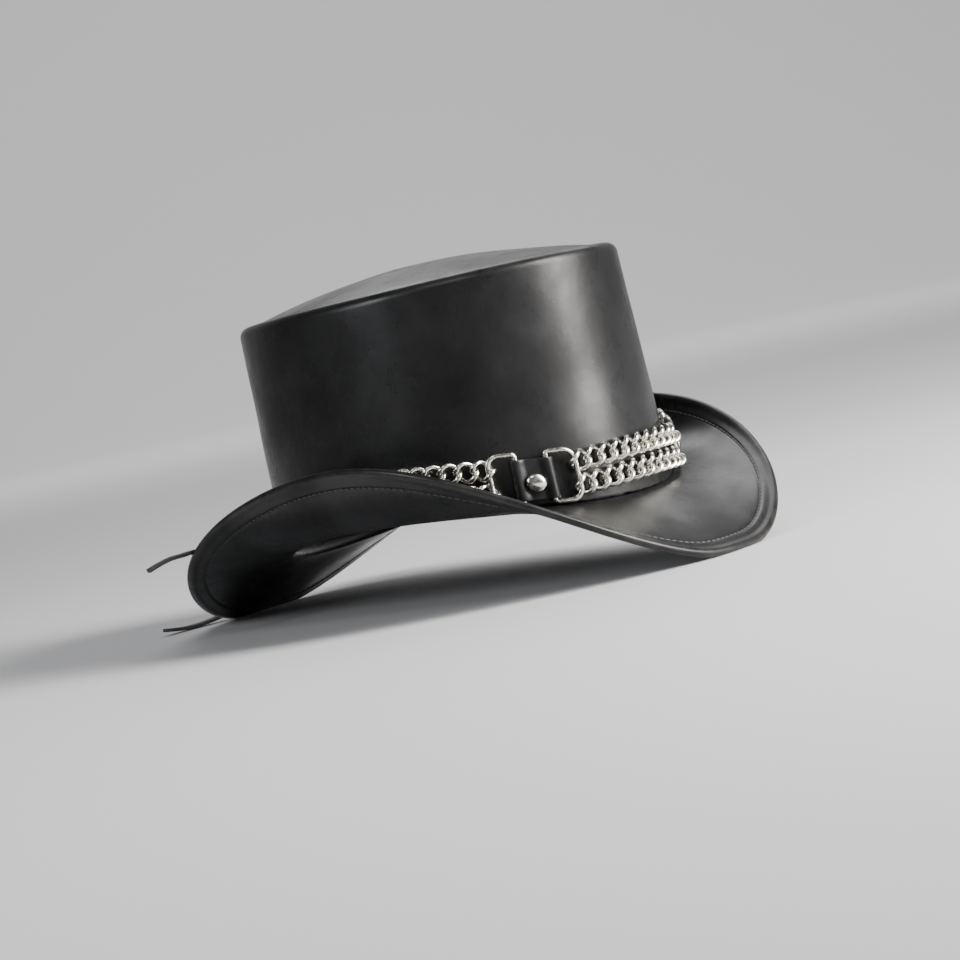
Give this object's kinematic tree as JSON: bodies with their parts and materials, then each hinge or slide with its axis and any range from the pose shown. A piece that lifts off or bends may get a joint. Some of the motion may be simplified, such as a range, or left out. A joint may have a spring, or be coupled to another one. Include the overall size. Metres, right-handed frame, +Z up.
{
  "type": "steampunk top hat",
  "caption": "Leather top hat with an open oval crown, a domed top, a curled brim and a band of riveted tabs, D-rings and double chain tied behind with a lace.",
  "frame": {"origin": "on the surface the hat rests on, under the middle of its outline without the lace's free ends", "axes": "+Z up, -Y the front of the hat, -X the wearer's right"},
  "size_m": [0.2316, 0.3235, 0.1582],
  "materials": {
    "blackened_leather": "smooth, satin gloss",
    "black_lace": "matt cut leather",
    "pale_nickel": "polished warm nickel plate"
  },
  "bodies": {
    "root": {"crown": "blackened_leather", "crown_top": "blackened_leather", "brim": "blackened_leather", "left_tab": "blackened_leather", "right_tab": "blackened_leather", "left_lace_loop": "black_lace", "right_lace_loop": "black_lace", "lace_knot": "black_lace", "left_lace_end": "black_lace", "right_lace_end": "black_lace", "left_rivet": "pale_nickel", "left_front_ring": "pale_nickel", "left_side_ring": "pale_nickel", "left_rear_ring": "pale_nickel", "left_upper_chain": "pale_nickel", "left_lower_chain": "pale_nickel", "right_rivet": "pale_nickel", "right_front_ring": "pale_nickel", "right_side_ring": "pale_nickel", "right_rear_ring": "pale_nickel", "right_upper_chain": "pale_nickel", "right_lower_chain": "pale_nickel", "front_upper_chain": "pale_nickel", "front_lower_chain": "pale_nickel"}
  },
  "joints": []
}
